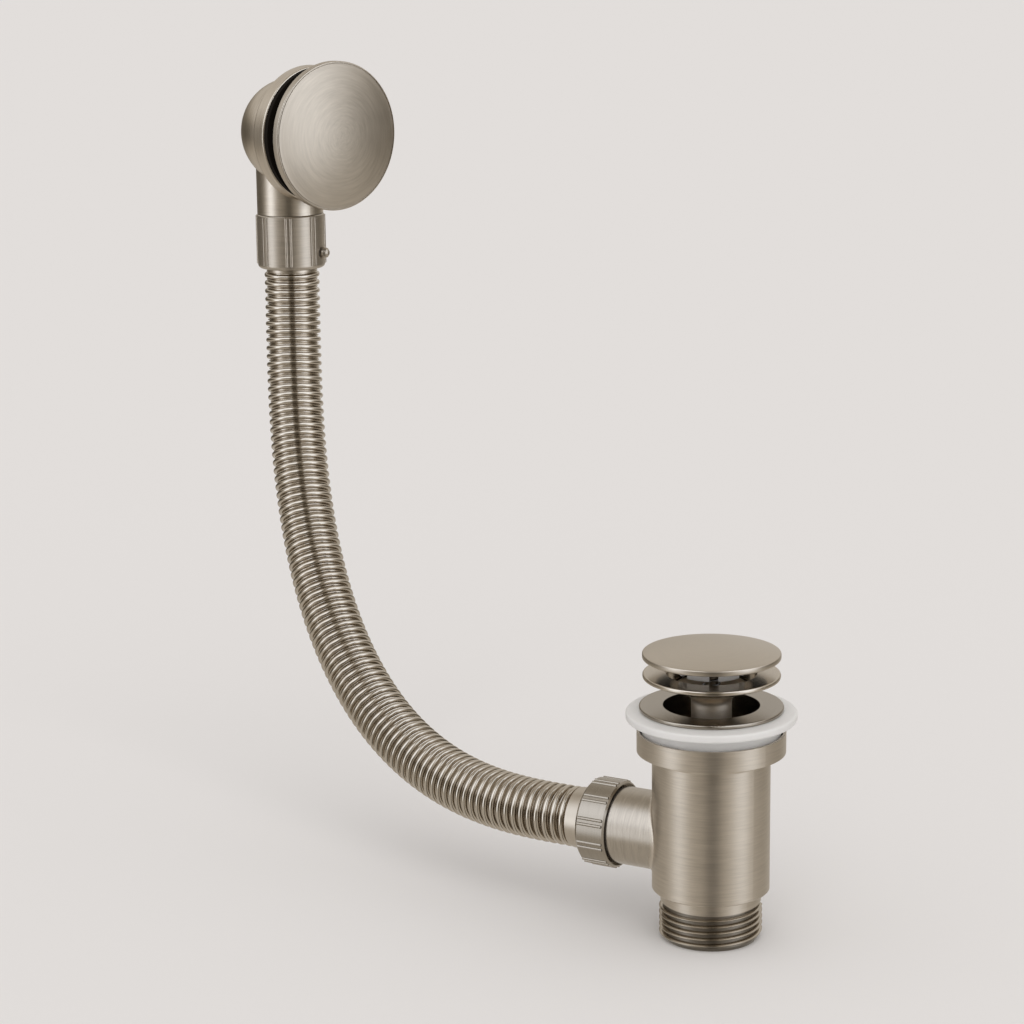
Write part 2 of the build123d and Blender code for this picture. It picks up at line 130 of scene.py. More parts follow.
class Signal:
    """One socket of a finish's nodes. Arithmetic on it adds the Math nodes that work it out."""

    def __init__(self, finish, socket):
        self.finish = finish
        self.socket = socket

    def work_out(self, operation, first, second):
        return self.finish.node("ShaderNodeMath", {"operation": operation}, {0: first, 1: second})

    def __add__(self, other):
        return self.work_out("ADD", self, other)

    def __radd__(self, other):
        return self.work_out("ADD", other, self)

    def __sub__(self, other):
        return self.work_out("SUBTRACT", self, other)

    def __rsub__(self, other):
        return self.work_out("SUBTRACT", other, self)

    def __mul__(self, other):
        return self.work_out("MULTIPLY", self, other)

    def __rmul__(self, other):
        return self.work_out("MULTIPLY", other, self)

    def __truediv__(self, other):
        return self.work_out("DIVIDE", self, other)

    def __pow__(self, other):
        return self.work_out("POWER", self, other)


class Finish:
    """The nodes of one material or world."""

    def __init__(self, owner):
        self.owner = owner
        owner.use_nodes = True
        self.tree = owner.node_tree
        self.tree.nodes.clear()

    def node(self, kind, settings=None, inputs=None, output=0):
        """Adds a node with its settings and inputs, and gives one of its outputs."""
        made = self.tree.nodes.new(kind)
        for name, value in (settings or {}).items():
            if name == "stops":
                ramp = made.color_ramp
                while len(ramp.elements) < len(value):
                    ramp.elements.new(0.5)
                for element, (place, level) in zip(ramp.elements, value):
                    element.position = place
                    element.color = (level, level, level, 1)
            elif name == "interpolation":
                made.color_ramp.interpolation = value
            else:
                setattr(made, name, value)
        for name, value in (inputs or {}).items():
            if isinstance(value, Signal):
                self.tree.links.new(value.socket, made.inputs[name])
            else:
                made.inputs[name].default_value = value
        return Signal(self, made.outputs[output]) if len(made.outputs) else None

    def split(self, vector):
        """The three parts of a vector."""
        parts = self.node("ShaderNodeSeparateXYZ", None, {0: vector})
        return [Signal(self, output) for output in parts.socket.node.outputs]

    def stretched(self, scale, turn=0.0, shift=(0, 0, 0)):
        """Object coordinates moved back by shift, turned back about Z and then multiplied by scale."""
        place = self.node("ShaderNodeTexCoord", output="Object")
        return self.node(
            "ShaderNodeMapping", {"vector_type": "TEXTURE"},
            {"Vector": place, "Location": shift, "Rotation": (0, 0, turn), "Scale": (1 / scale,) * 3})

    def place(self, turn=0.0, shift=(0, 0, 0)):
        """The three parts of a place, after a shift and a turn about Z."""
        return self.split(self.stretched(1, turn, shift))

    def noise(self, vector, detail, rough=0.55):
        return self.node(
            "ShaderNodeTexNoise", {"noise_dimensions": "3D"},
            {"Vector": vector, "Scale": 1.0, "Detail": detail, "Roughness": rough})

    def blend(self, share, first, second):
        """A colour between two others."""
        return self.node("ShaderNodeMix", {"data_type": "RGBA"}, {0: share, 6: first, 7: second}, output=2)

    def tones(self, share, first, second):
        """A colour between two fixed tones."""
        return self.blend(share, first + (1.0,), second + (1.0,))

    def places(self, share, first, second):
        """A place in a pattern between two others."""
        return self.node("ShaderNodeMix", {"data_type": "VECTOR"}, {0: share, 4: first, 5: second}, output=1)

    def step(self, value, low, high):
        """0 below low, 1 above high, and smooth between them."""
        return self.node(
            "ShaderNodeMapRange", {"interpolation_type": "SMOOTHSTEP"},
            {"Value": value, "From Min": low, "From Max": high, "To Min": 0.0, "To Max": 1.0})

    def bump(self, height, strength, distance):
        return self.node(
            "ShaderNodeBump", None, {"Height": height, "Strength": strength, "Distance": distance})

    def surface(self, shader, kind="ShaderNodeOutputMaterial"):
        self.node(kind, None, {"Surface": shader})


NICKEL = (0.53, 0.472, 0.396)
HOSE_NICKEL = (0.53, 0.476, 0.405)
SPRING_STEEL = (0.55, 0.55, 0.56)

# How far brush lines stretch round an axis: noise cells along a radius, for the fine and the broad lines
FINE_SPREAD = 2.0
BROAD_SPREAD = 1.0
# Keeps a division by the radius safe on the axis
TINY = 1e-9
# Shares of the streaks, the bands and the clouds in a brushed metal's tone and in its roughness
BRUSH_TONE = (1.0, 0.4, 0.25)
BRUSH_ROUGHNESS = (0.06, 0.04, 0.02)
# Detail of the fine patterns and of the clouds
FINE_DETAIL = 2.0
CLOUD_DETAIL = 3.0
# Noise cells in a metre, and the depths and strength of the finest relief
CLOUD_SCALE = 38
METAL_GRAIN = 900
METAL_HAZE = 120
METAL_RELIEF = 0.01 * MM
METAL_RELIEF_STRENGTH = 0.06
MOULD_CLOUD = 60
MOULD_RELIEF = 0.02 * MM

# Where one lay, tone, painted highlight or painted shade gives way to the next on a piece, across its radius
# or up its height
BRANCH_LAY_ACROSS = (BRANCH_ROOT, BARREL_RADIUS + 0.9 * MM)
BRANCH_LAY_UP = (BRANCH_HIGH, BRANCH_HIGH + 0.5 * MM)
BRANCH_TONE_ACROSS = (BRANCH_ROOT, BARREL_RADIUS + 2.0 * MM)
BRANCH_TONE_UP = (BRANCH_HEIGHT + BRANCH_CLEAR, BRANCH_HEIGHT + BRANCH_CLEAR + 2.0 * MM)
HEAD_LAY_UP = (SPIGOT_HIGH - 1.0 * MM, SPIGOT_HIGH)
# Bounds of the painted highlight on the drain flange's neck
NECK_LIGHT_ACROSS = (NECK_TOP_RADIUS, NECK_TOP_RADIUS + 3.0 * MM)
NECK_LIGHT_UP = (FLANGE_BOTTOM - 4.0 * MM, FLANGE_BOTTOM - 2.0 * MM)
# Bounds of the painted shade at the root of the tail's thread
GROOVE_SHADE_UP = (THREAD_TOP - 0.6 * MM, THREAD_TOP - 0.2 * MM)


def shade(level, tone=NICKEL):
    """A tone made darker or lighter by its level."""
    return tuple(level * part for part in tone)


def weighed(parts, shares):
    """Patterns that vary round a half, added up by their shares."""
    first, second, third = ((part - 0.5) * share for part, share in zip(parts, shares))
    return first + second + third


def distance(first, second):
    """How far a place lies from an axis, from its parts across that axis."""
    return (first * first + second * second) ** 0.5


def rings(made, across, along, fine, broad):
    """Brush lines round an axis, on walls and on flat faces alike: fine short ones and broad long ones."""
    first, second = across
    radius = (first * first + second * second + TINY) ** 0.5
    level = radius + along
    return [
        made.node("ShaderNodeCombineXYZ", None,
                  {0: level * scale, 1: first / radius * spread, 2: second / radius * spread})
        for scale, spread in ((fine, FINE_SPREAD), (broad, BROAD_SPREAD))]


def around_z(made, fine, broad):
    """Brush lines round upright pieces."""
    x, y, z = made.place()
    return rings(made, (x, y), z, fine, broad)


def around_spigot(made, fine, broad):
    """Brush lines round the overflow's upright spigot."""
    x, y, z = made.place(shift=(SPIGOT_BACK, 0, 0))
    return rings(made, (x, y), z, fine, broad)


def around_branch(made, fine, broad):
    """Brush lines round the side branch."""
    x, y, z = made.place(BRANCH_TURN, (0, 0, BRANCH_HEIGHT))
    return rings(made, (y, z), x, fine, broad)


def around_plate(made, fine, broad):
    """Brush lines in rings round the overflow's level axis."""
    x, y, z = made.place(shift=(0, 0, PLATE_HEIGHT))
    return rings(made, (y, z), x, fine, broad)


def around_body(made, fine, broad):
    """Level brush lines on the barrel, and lines round the branch outside it."""
    x, y, z = made.place()
    outside = made.step(distance(x, y), *BRANCH_LAY_ACROSS)
    share = outside * (1.0 - made.step(z, *BRANCH_LAY_UP))
    return [made.places(share, level, branch)
            for level, branch in zip(around_z(made, fine, broad), around_branch(made, fine, broad))]


def around_overflow(made, fine, broad):
    """Rings round the overflow's level axis on its head, and round the spigot under it."""
    share = made.step(made.place()[2], *HEAD_LAY_UP)
    return [made.places(share, upright, ring)
            for upright, ring in zip(around_spigot(made, fine, broad), around_plate(made, fine, broad))]


def brushed(
        name, lay, tone=NICKEL, rough=0.33, fine=1400, broad=420, lines=0.2, metal=1.0,
        patches=()):
    """Satin metal: fine streaks along the brushing, broader bands, and a faint cloudiness.

    Each patch is a mask, and the tone and roughness inside it; some patches' tones are painted shade or a
    painted highlight rather than the metal's own.
    """
    made = Finish(bpy.data.materials.new(name))
    fine_place, broad_place = lay(made, fine, broad)
    streak = made.noise(fine_place, FINE_DETAIL, rough=0.6)
    band = made.noise(broad_place, FINE_DETAIL)
    cloud = made.noise(made.stretched(CLOUD_SCALE), CLOUD_DETAIL)
    mark = weighed((streak, band, cloud), BRUSH_TONE) + 0.5
    colour = made.tones(mark, shade(1.0 - lines, tone), shade(1.0 + lines, tone))
    for mask, patch_tone, patch_rough in patches:
        share = mask(made)
        patch = made.tones(mark, shade(1.0 - lines, patch_tone), shade(1.0 + lines, patch_tone))
        colour = made.blend(share, colour, patch)
        rough = share * patch_rough + (1.0 - share) * rough
    rough = rough + weighed((streak, band, cloud), BRUSH_ROUGHNESS)
    made.surface(made.node(
        "ShaderNodeBsdfPrincipled", None,
        {"Base Color": colour, "Metallic": metal, "Roughness": rough}))
    return made.owner


def neck_painted_light(made):
    """The turned neck under the drain flange, painted brighter than its disc: a painted highlight for light
    that the gap between the discs keeps from it.
    """
    x, y, z = made.place()
    inside = 1.0 - made.step(distance(x, y), *NECK_LIGHT_ACROSS)
    return inside * (1.0 - made.step(z, *NECK_LIGHT_UP))


def side_branch(made):
    """The side branch, which is glossier and a little darker than the barrel."""
    x, y, z = made.place()
    outside = made.step(distance(x, y), *BRANCH_TONE_ACROSS)
    return outside * (1.0 - made.step(z, *BRANCH_TONE_UP))


def thread_root_painted_shade(made):
    """The cut root of the tail's thread, painted darker than the barrel: painted shade in the thread's
    grooves.
    """
    return 1.0 - made.step(made.place()[2], *GROOVE_SHADE_UP)


def polished(name, tone, rough):
    """Bright formed metal with a fine grain and small clouds of haze."""
    made = Finish(bpy.data.materials.new(name))
    grain = made.noise(made.stretched(METAL_GRAIN), FINE_DETAIL)
    haze = made.noise(made.stretched(METAL_HAZE), CLOUD_DETAIL)
    colour = made.tones(haze * 0.7 + grain * 0.3, shade(0.94, tone), shade(1.05, tone))
    made.surface(made.node(
        "ShaderNodeBsdfPrincipled", None,
        {"Base Color": colour, "Metallic": 1.0,
         "Roughness": rough + (haze - 0.5) * 0.08 + (grain - 0.5) * 0.06,
         "Normal": made.bump(grain, METAL_RELIEF_STRENGTH, METAL_RELIEF)}))
    return made.owner


def moulded(name, dark, light, rough, grain=700.0, relief=0.25, extra=()):
    """Moulded plastic or rubber: a fine grain, slight clouds in its colour, and its own roughness."""
    made = Finish(bpy.data.materials.new(name))
    fine = made.noise(made.stretched(grain), FINE_DETAIL)
    cloud = made.noise(made.stretched(MOULD_CLOUD), CLOUD_DETAIL)
    values = {
        "Base Color": made.tones(cloud * 0.8 + fine * 0.2, dark, light),
        "Roughness": rough + (cloud - 0.5) * 0.1 + (fine - 0.5) * 0.05,
        "Normal": made.bump(fine, relief, MOULD_RELIEF)}
    values.update(extra)
    made.surface(made.node("ShaderNodeBsdfPrincipled", None, values))
    return made.owner


def glow_within(weight, depth):
    """Sockets for light that spreads inside a pale material."""
    return {"Subsurface Weight": weight, "Subsurface Radius": (depth, depth, depth), "Subsurface Scale": 1.0}


brushed_level = brushed("brushed_level", around_z, fine=500, lines=0.06)
# The patch at the thread's root is painted shade, darkening the grooves between the ridges
brushed_body = brushed(
    "brushed_body", around_body, tone=shade(1.06), metal=0.9,
    patches=((side_branch, shade(0.8), 0.24), (thread_root_painted_shade, shade(0.4), 0.33)))
brushed_collar = brushed("brushed_collar", around_spigot, tone=shade(0.89), rough=0.34, metal=0.9)
brushed_elbow = brushed("brushed_elbow", around_overflow, tone=shade(1.1), rough=0.32)
brushed_plate = brushed("brushed_plate", around_plate, tone=shade(0.95), rough=0.41, fine=1200)
dark_rings = brushed("dark_rings", around_z, tone=shade(0.66), rough=0.22, lines=0.1)
# The neck's patch is a painted highlight: a far lighter tone where the lamps don't reach into the gap
# between the discs
flange_metal = brushed(
    "flange_metal", around_z, rough=0.2, lines=0.08, patches=((neck_painted_light, shade(1.75), 0.45),))
# The thread's ridge is a little darker than the barrel: painted shade for the shadow round the foot of the
# tail
thread_metal_painted_shade = brushed("thread_metal_painted_shade", around_z, tone=shade(0.9), rough=0.2, fine=300, lines=0.08)
nut_metal = brushed("nut_metal", around_branch, tone=shade(0.68), rough=0.24, lines=0.1)
cast_cuff = brushed("cast_cuff", around_branch, rough=0.34, lines=0.06)
hose_metal = polished("hose_metal", HOSE_NICKEL, 0.13)
spring_wire = polished("spring_wire", SPRING_STEEL, 0.25)
seal_white = moulded(
    "seal_white", (0.71, 0.715, 0.71), (0.77, 0.775, 0.77), 0.38, grain=500.0, relief=0.1,
    extra=glow_within(0.6, 7 * MM))
white_plastic = moulded(
    "white_plastic", (0.84, 0.835, 0.82), (0.9, 0.895, 0.88), 0.42,
    extra={**glow_within(0.3, 3 * MM), "Specular IOR Level": 0.3})
black_rubber = moulded(
    "black_rubber", (0.009, 0.007, 0.005), (0.014, 0.011, 0.009), 0.75, relief=0.4,
    extra={"Specular IOR Level": 0.06})
black_plastic = moulded(
    "black_plastic", (0.009, 0.007, 0.006), (0.015, 0.012, 0.01), 0.6,
    extra={"Specular IOR Level": 0.08})

NODE_FINISHES = {
    brushed_level: ("plug_stem",),
    dark_rings: ("throat_ring",),
    flange_metal: ("drain_flange",),
    brushed_elbow: ("overflow_elbow", "hose_upper_cuff"),
    brushed_collar: ("upper_collar", "collar_stud"),
    nut_metal: ("branch_nut",),
    cast_cuff: ("hose_lower_cuff",),
    seal_white: ("body_seal",),
    white_plastic: ("plug_hub", "click_body"),
    black_rubber: ("overflow_gasket", "plug_seal", "branch_seal", "upper_seal"),
    black_plastic: ("overflow_strainer",),
    spring_wire: ("click_spring", "latch_pin", "grub_screw"),
}
for material, names in NODE_FINISHES.items():
    for name in names:
        mesh = nodes[name].data
        mesh.materials.clear()
        mesh.materials.append(material)


# Modelling helpers

def alone(piece=None):
    """Back in object mode with nothing selected but the piece."""
    if bpy.context.object and bpy.context.object.mode != "OBJECT":
        bpy.ops.object.mode_set(mode="OBJECT")
    bpy.ops.object.select_all(action="DESELECT")
    if piece:
        piece.select_set(True)
        bpy.context.view_layer.objects.active = piece


def edit(piece, selected="DESELECT"):
    """Edit mode on one piece, with all of its mesh or none of it selected."""
    alone(piece)
    bpy.ops.object.mode_set(mode="EDIT")
    bpy.ops.mesh.select_mode(type="VERT")
    bpy.ops.mesh.select_all(action=selected)


def pick(piece, wanted):
    """Selects the vertices whose place passes the test, and what lies between them."""
    bpy.ops.object.mode_set(mode="OBJECT")
    for vertex in piece.data.vertices:
        vertex.select = wanted(vertex.co)
    for edge in piece.data.edges:
        edge.select = all(piece.data.vertices[i].select for i in edge.vertices)
    for face in piece.data.polygons:
        face.select = all(piece.data.vertices[i].select for i in face.vertices)
    bpy.ops.object.mode_set(mode="EDIT")


def circle(name, sides, radius, location, rotation=(0, 0, 0)):
    """A bare ring of vertices, named, with its place in its mesh, and all selected in edit mode."""
    alone()
    bpy.ops.mesh.primitive_circle_add(vertices=sides, radius=radius, location=location, rotation=rotation)
    piece = bpy.context.object
    piece.name = name
    piece.data.name = name
    bpy.ops.object.transform_apply(location=True, rotation=True)
    edit(piece, "SELECT")
    return piece


def turn_outward():
    """Turns the faces of the piece in edit mode outward."""
    bpy.ops.mesh.select_all(action="SELECT")
    bpy.ops.mesh.normals_make_consistent(inside=False)


def apply_modifiers(piece):
    alone(piece)
    for modifier in list(piece.modifiers):
        bpy.ops.object.modifier_apply(modifier=modifier.name)


def settle(piece):
    """Applies the piece's place to its mesh and shades it."""
    alone(piece)
    bpy.ops.object.transform_apply(location=True, rotation=True, scale=True)
    bpy.ops.object.shade_smooth_by_angle(angle=SMOOTH_ANGLE)


def dress(piece, material, body="fixed", replaced=()):
    piece.data.materials.clear()
    piece.data.materials.append(material)
    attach(piece, body)
    if replaced:
        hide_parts(*replaced)


# Corrugated hose

def hose_centre_line():
    """The hose's route as one smooth spline through the air, the same as the solid's."""
    curve = bpy.data.curves.new("hose_line", "CURVE")
    curve.dimensions = "3D"
    spline = curve.splines.new("NURBS")
    spline.points.add(len(HOSE_ROUTE) - 1)
    for point, place in zip(spline.points, HOSE_ROUTE):
        point.co = tuple(part * MM for part in place) + (1.0,)
    spline.use_endpoint_u = True
    spline.order_u = len(HOSE_ROUTE)
    spline.resolution_u = HOSE_ROUTE_STEPS
    curve.resolution_u = HOSE_ROUTE_STEPS
    line = bpy.data.objects.new("hose_line", curve)
    bpy.context.scene.collection.objects.link(line)
    return line


def line_length(line):
    flat = bpy.data.meshes.new_from_object(line)
    places = [vertex.co.copy() for vertex in flat.vertices]
    bpy.data.meshes.remove(flat)
    return sum((b - a).length for a, b in zip(places, places[1:]))


def corrugated_hose():
    """One wave and the bore inside it, repeated along X, closed at both ends and bent along the route."""
    line = hose_centre_line()
    pitch = line_length(line) / HOSE_WAVES
    wave = [(share * pitch, radius * MM) for share, radius in HOSE_WAVE]
    wave += [(pitch - x, radius) for x, radius in reversed(wave[:-1])]
    to_x = (0, math.pi / 2, 0)
    hose = circle("corrugated_hose_beads", HOSE_ROUND, wave[0][1], (0, 0, 0), to_x)
    for (x0, r0), (x1, r1) in zip(wave, wave[1:]):
        bpy.ops.mesh.extrude_edges_move(TRANSFORM_OT_translate={"value": (x1 - x0, 0, 0)})
        bpy.ops.transform.resize(value=(1, r1 / r0, r1 / r0), center_override=(x1, 0, 0))
    bore = circle("hose_bore", HOSE_ROUND, HOSE_BORE, (0, 0, 0), to_x)
    bpy.ops.mesh.extrude_edges_move(TRANSFORM_OT_translate={"value": (pitch, 0, 0)})
    alone(hose)
    bore.select_set(True)
    bpy.ops.object.join()
    waves = hose.modifiers.new("waves", "ARRAY")
    waves.count = HOSE_WAVES
    waves.use_relative_offset = False
    waves.use_constant_offset = True
    waves.constant_offset_displace = (pitch, 0, 0)
    waves.use_merge_vertices = True
    waves.merge_threshold = HOSE_WELD
    apply_modifiers(hose)
    for end in (0.0, pitch * HOSE_WAVES):
        edit(hose)
        pick(hose, lambda co: abs(co.x - end) < NEAR)
        bpy.ops.mesh.select_mode(type="EDGE")
        bpy.ops.mesh.bridge_edge_loops()
    turn_outward()
    alone(hose)
    bend = hose.modifiers.new("bend", "CURVE")
    bend.object = line
    bend.deform_axis = "POS_X"
    apply_modifiers(hose)
    settle(hose)
    bpy.data.objects.remove(line)
    dress(hose, hose_metal, replaced=("corrugated_hose",))


# Waste body and its thread

def waste_body():
    """A merged copy of the body, its tail turned down to the thread's root, with its own smooth normals."""
    body = bpy.data.objects.new("waste_body_turned", nodes["waste_body"].data.copy())
    bpy.context.scene.collection.objects.link(body)
    body.data.name = "waste_body_turned"
    normals = [tuple(corner.vector) for corner in body.data.corner_normals]
    edit(body, "SELECT")
    bpy.ops.mesh.remove_doubles(threshold=WELD)
    tail_wall = THREAD_RADIUS - NEAR_WALL
    pick(body, lambda co: co.z < THREAD_TOP + NEAR and math.hypot(co.x, co.y) > tail_wall)
    shrink = THREAD_ROOT / THREAD_RADIUS
    bpy.ops.transform.resize(value=(shrink, shrink, 1), center_override=(0, 0, 0))
    pick(body, lambda co: co.z < NEAR and abs(math.hypot(co.x, co.y) - TAIL_FOOT_RADIUS) < NEAR_WALL)
    shrink = (THREAD_ROOT - TAIL_FOOT_INSET) / TAIL_FOOT_RADIUS
    bpy.ops.transform.resize(value=(shrink, shrink, 1), center_override=(0, 0, 0))
    alone(body)
    bpy.ops.object.shade_smooth()
    body.data.normals_split_custom_set(normals)
    dress(body, brushed_body, replaced=("waste_body",))


def tail_thread():
    """The tail's one rounded ridge, wound up round its root."""
    middle = (THREAD_ROOT, 0, THREAD_START_HEIGHT)
    thread = circle(
        "tail_thread", THREAD_SIDES, THREAD_RADIUS - THREAD_ROOT, middle, (math.pi / 2, 0, 0))
    bpy.ops.transform.resize(value=(1, 1, THREAD_FLATNESS), center_override=middle)
    alone(thread)
    wind = thread.modifiers.new("wind", "SCREW")
    wind.axis = "Z"
    wind.angle = math.tau * THREAD_TURNS
    wind.screw_offset = THREAD_PITCH * THREAD_TURNS
    wind.iterations = 1
    wind.steps = int(THREAD_STEPS * THREAD_TURNS)
    wind.render_steps = wind.steps
    apply_modifiers(thread)
    edit(thread, "SELECT")
    bpy.ops.mesh.remove_doubles(threshold=WELD)
    bpy.ops.mesh.select_all(action="DESELECT")
    bpy.ops.mesh.select_mode(type="EDGE")
    bpy.ops.mesh.select_non_manifold()
    bpy.ops.mesh.edge_face_add()
    turn_outward()
    alone(thread)
    thread.rotation_euler = (0, 0, THREAD_START_TURN)
    settle(thread)
    dress(thread, thread_metal_painted_shade)


# Turned cap and face plate

def turned(name, outline, around):
    """A piece turned up about Z from its (radius, height) outline, which runs from pole to pole."""
    first_radius, first_level = outline[0]
    piece = circle(name, around, first_radius, (0, 0, first_level))
    for (r0, z0), (r1, z1) in zip(outline, outline[1:]):
        bpy.ops.mesh.extrude_edges_move(TRANSFORM_OT_translate={"value": (0, 0, z1 - z0)})
        bpy.ops.transform.resize(value=(r1 / r0, r1 / r0, 1), center_override=(0, 0, z1))
    for radius, level in (outline[-1], outline[0]):
        pick(piece, lambda co: (
            abs(co.z - level) < SAME_LEVEL and abs(math.hypot(co.x, co.y) - radius) < SAME_RADIUS))
        bpy.ops.mesh.select_mode(type="EDGE")
        bpy.ops.mesh.extrude_edges_move(TRANSFORM_OT_translate={"value": (0, 0, 0)})
        bpy.ops.mesh.merge(type="CENTER")
    turn_outward()
    alone(piece)
    return piece


def arc(middle, across, up, start, end, steps):
    """Points of an elliptic arc round its middle, by degrees from straight up toward the outside."""
    radius, level = middle
    turns = [math.radians(start + (end - start) * step / steps) for step in range(steps + 1)]
    return [(radius + across * math.sin(turn), level + up * math.cos(turn)) for turn in turns]


def dome_level(radius, edge_radius, edge_level, apex_level):
    """The height of a low dome at a radius."""
    return apex_level - (apex_level - edge_level) * (radius / edge_radius) ** 2


def low_dome(edge_radius, edge_level, apex_level, steps):
    """Points of a low dome from near its pole to just before its edge."""
    radii = [POLE + (edge_radius - POLE) * step / steps for step in range(steps)]
    return [(radius, dome_level(radius, edge_radius, edge_level, apex_level)) for radius in radii]


def plug_cap():
    """The plug's disc: a low dome with a thin rounded edge, and a dished underside."""
    middle = CAP_RADIUS - CAP_ROUND
    outline = low_dome(middle, CAP_RIM_TOP, CAP_APEX, CAP_DOME_STEPS)
    outline += arc((middle, CAP_RIM_TOP - CAP_ROUND), CAP_ROUND, CAP_ROUND, 10, 90, EDGE_STEPS)
    outline += arc((middle, CAP_RIM_FOOT + CAP_ROUND), CAP_ROUND, CAP_ROUND, 90, 180, EDGE_STEPS)
    outline += [
        (CAP_SEAT_RADIUS, 0.0), (CAP_HOLE, 0.0), (CAP_HOLE, CAP_HOLE_DEPTH), (POLE, CAP_HOLE_DEPTH)]
    cap = turned("plug_cap_turned", [(radius, CAP_BOTTOM + level) for radius, level in outline], CAP_AROUND)
    settle(cap)
    dress(cap, brushed_level, "plug", ("plug_cap",))


def face_plate():
    """The overflow's plate: a domed face inside a fine groove and a plain rim, on a post."""
    face_radius = PLATE_RADIUS - PLATE_EDGE - PLATE_GROOVE
    face_level = PLATE_RIM + PLATE_EDGE
    floor_level = face_level - PLATE_GROOVE_DEPTH
    flat_radius = face_radius - PLATE_FACE_ROUND
    inner_radius = PLATE_RADIUS - PLATE_SHELL
    inner_level = PLATE_RIM - PLATE_INSIDE_DROP
    inside = (inner_radius, inner_level, PLATE_APEX - PLATE_SHELL)
    outline = low_dome(flat_radius, face_level, PLATE_APEX, PLATE_DOME_STEPS)
    outline += arc(
        (flat_radius, face_level - PLATE_FACE_DROP), PLATE_FACE_ROUND, PLATE_FACE_DROP, 0, 90,
        PLATE_ROUND_STEPS)
    outline += [(face_radius, floor_level), (face_radius + PLATE_GROOVE, floor_level)]
    outline += arc((PLATE_RADIUS - PLATE_EDGE, PLATE_RIM), PLATE_EDGE, PLATE_EDGE, 0, 90, EDGE_STEPS)
    outline += [(PLATE_RADIUS, 0.0), (inner_radius, 0.0), (inner_radius, inner_level)]
    under = low_dome(*inside, PLATE_INSIDE_STEPS)
    outline += [point for point in reversed(under) if point[0] > PLATE_POST_RADIUS]
    outline += [
        (PLATE_POST_RADIUS, dome_level(PLATE_POST_RADIUS, *inside)),
        (PLATE_POST_RADIUS, PLATE_POST_END), (POLE, PLATE_POST_END)]
    plate = turned("face_plate_turned", outline, PLATE_AROUND)
    # Stood up to face +X, on the overflow's axis
    plate.rotation_euler = (0, math.pi / 2, 0)
    plate.location = (SPIGOT_BACK + PLATE_BACK, 0, PLATE_HEIGHT)
    settle(plate)
    dress(plate, brushed_plate, replaced=("face_plate",))


corrugated_hose()
waste_body()
tail_thread()
plug_cap()
face_plate()


# Studio

PALE = (0.76, 0.729, 0.708)
VIEW_TURN = math.radians(48.875)
VIEW_DIP = math.radians(13.09)
VIEW_ROLL = math.radians(-0.67)
VIEW_PLACE = Vector((0.89085, -0.89724, 0.49588))
LENS = 101.37
SENSOR = 36.0
VIEW_END = 200
FLOOR_SIZE = 120
FLOOR_PAINT = (0.822, 0.822, 0.822, 1.0)
SUN_ENERGY = 0.7
SUN_SPREAD = math.radians(55)
SUN_TONE = (1.0, 0.96, 0.93)
SUN_AIM = Vector((-0.78, 0.48, -1.0))

# Brightness of the room that the metal mirrors, by degrees round from the camera's side
ROOM_ROUND = (
    (-180, 0.55), (-166, 0.24), (-150, 0.14), (-128, 0.1), (-112, 0.1), (-104, 0.14), (-96, 0.26),
    (-84, 0.75), (-73, 1.95), (-62, 1.95), (-52, 0.95), (-42, 0.36), (-30, 0.22), (-15, 0.22), (0, 0.3),
    (12, 0.28), (24, 0.36), (34, 0.66), (45, 1.45), (56, 2.0), (66, 1.8), (76, 0.8), (86, 0.26),
    (97, 0.12), (108, 0.1), (128, 0.2), (150, 0.5), (168, 0.72), (180, 0.55))
ROOM_SCALE = 2.0
# Heights in degrees between which the room changes, with the depth below the horizon for the ground
CEILING_EDGE = (2.0, 26.0)
GROUND_EDGE = (7.0, 27.0)
LAMP_FOOT = (-8.0, 30.0)
LAMP_TOP = (52.0, 88.0)
REAR_TOP = (36.0, 60.0)
CEILING_LEVEL = 0.5
GROUND_LEVEL = 0.6
LAMP_LEVEL = 1.15
REAR_LEVEL = 0.22
# Where the camera's side begins, and the flag's edges, in parts of a mirrored direction
FRONT_EDGE = (-0.35, 0.35)
FLAG_SIDE_SQUARED = (0.004, 0.09)
FLAG_FRONT = (0.0, 0.2)
FLAG_DEPTH = 0.8
# Brightness at which the room turns from warm to cool
TINT_EDGE = (0.05, 1.5)
WARM = (1.0, 0.885, 0.71)
COOL = (1.0, 1.05, 1.14)


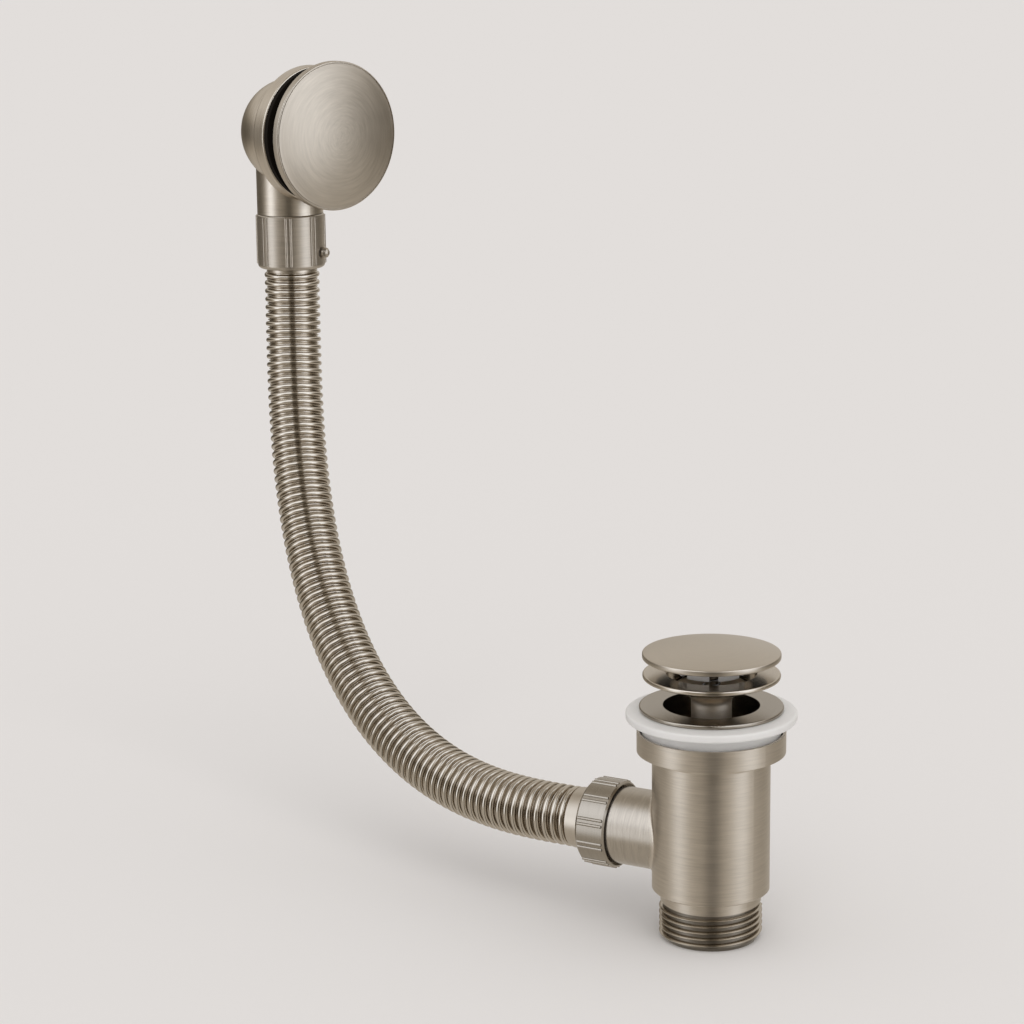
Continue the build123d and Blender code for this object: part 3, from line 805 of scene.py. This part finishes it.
def studio_world():
    """A plain pale world, where metal mirrors a room with light and dark walls, a lamp and a dark flag."""
    made = Finish(bpy.data.worlds.new("studio"))
    x, y, z = made.split(made.node("ShaderNodeTexCoord", output="Generated"))
    right = x * math.cos(VIEW_TURN) + y * math.sin(VIEW_TURN)
    back = x * math.sin(VIEW_TURN) - y * math.cos(VIEW_TURN)
    turn = made.node("ShaderNodeMath", {"operation": "ARCTAN2"}, {0: right, 1: back})
    stops = [((angle + 180) / 360, level / ROOM_SCALE) for angle, level in ROOM_ROUND]
    walls = made.node(
        "ShaderNodeValToRGB", {"stops": stops, "interpolation": "EASE"}, {0: turn / math.tau + 0.5})
    height = made.node("ShaderNodeMath", {"operation": "ARCSINE"}, {0: z}) * math.degrees(1.0)
    front = made.step(back, *FRONT_EDGE)
    lamp = made.step(height, *LAMP_FOOT) * (1.0 - made.step(height, *LAMP_TOP))
    rear = (1.0 - front) * (1.0 - made.step(height, *REAR_TOP))
    ceiling = CEILING_LEVEL + front * lamp * LAMP_LEVEL + rear * REAR_LEVEL
    high = made.step(height, *CEILING_EDGE)
    low = made.step(height * -1.0, *GROUND_EDGE)
    level = walls * ROOM_SCALE * (1.0 - low) + GROUND_LEVEL * low
    level = level * (1.0 - high) + ceiling * high
    flag = (1.0 - made.step(right * right, *FLAG_SIDE_SQUARED)) * made.step(back, *FLAG_FRONT)
    level = level * (1.0 - flag * FLAG_DEPTH)
    tint = made.tones(made.step(level, *TINT_EDGE), WARM, COOL)
    plain = made.node("ShaderNodeBackground", None, {"Color": PALE + (1.0,), "Strength": 1.0})
    room = made.node("ShaderNodeBackground", None, {"Color": tint, "Strength": level})
    mirrored = made.node("ShaderNodeLightPath", output="Is Glossy Ray")
    mixed = made.node("ShaderNodeMixShader", None, {0: mirrored, 1: plain, 2: room})
    made.surface(mixed, "ShaderNodeOutputWorld")
    bpy.context.scene.world = made.owner


def floor():
    """A pale floor that keeps the shadow, clear from below and hidden from the metal."""
    alone()
    bpy.ops.mesh.primitive_plane_add(size=FLOOR_SIZE, location=(0, 0, 0))
    plane = bpy.context.object
    plane.name = "studio_floor"
    made = Finish(bpy.data.materials.new("studio_floor"))
    paint = made.node("ShaderNodeBsdfDiffuse", None, {"Color": FLOOR_PAINT})
    clear = made.node("ShaderNodeBsdfTransparent")
    below = made.node("ShaderNodeNewGeometry", output="Backfacing")
    made.surface(made.node("ShaderNodeMixShader", None, {0: below, 1: paint, 2: clear}))
    plane.data.materials.append(made.owner)
    plane.visible_glossy = False


def softbox():
    """A wide soft lamp, which the metal doesn't mirror."""
    light = bpy.data.lights.new("softbox", "SUN")
    light.energy = SUN_ENERGY
    light.angle = SUN_SPREAD
    light.color = SUN_TONE
    holder = bpy.data.objects.new("softbox", light)
    holder.rotation_euler = SUN_AIM.to_track_quat("-Z", "Y").to_euler()
    holder.visible_glossy = False
    bpy.context.scene.collection.objects.link(holder)


def camera():
    """The photograph's camera, from the fit that gave the part its sizes."""
    back = Vector((
        math.sin(VIEW_TURN) * math.cos(VIEW_DIP), -math.cos(VIEW_TURN) * math.cos(VIEW_DIP),
        math.sin(VIEW_DIP)))
    level = Vector((math.cos(VIEW_TURN), math.sin(VIEW_TURN), 0))
    up = back.cross(level)
    right = math.cos(VIEW_ROLL) * level + math.sin(VIEW_ROLL) * up
    up = -math.sin(VIEW_ROLL) * level + math.cos(VIEW_ROLL) * up
    lens = bpy.data.cameras.new("camera")
    lens.lens = LENS
    lens.sensor_width = SENSOR
    lens.clip_end = VIEW_END
    holder = bpy.data.objects.new("camera", lens)
    bpy.context.scene.collection.objects.link(holder)
    holder.matrix_world = Matrix.Translation(VIEW_PLACE) @ Matrix((right, up, back)).transposed().to_4x4()
    bpy.context.scene.camera = holder


studio_world()
floor()
softbox()
camera()
bpy.context.scene.view_settings.view_transform = "Standard"
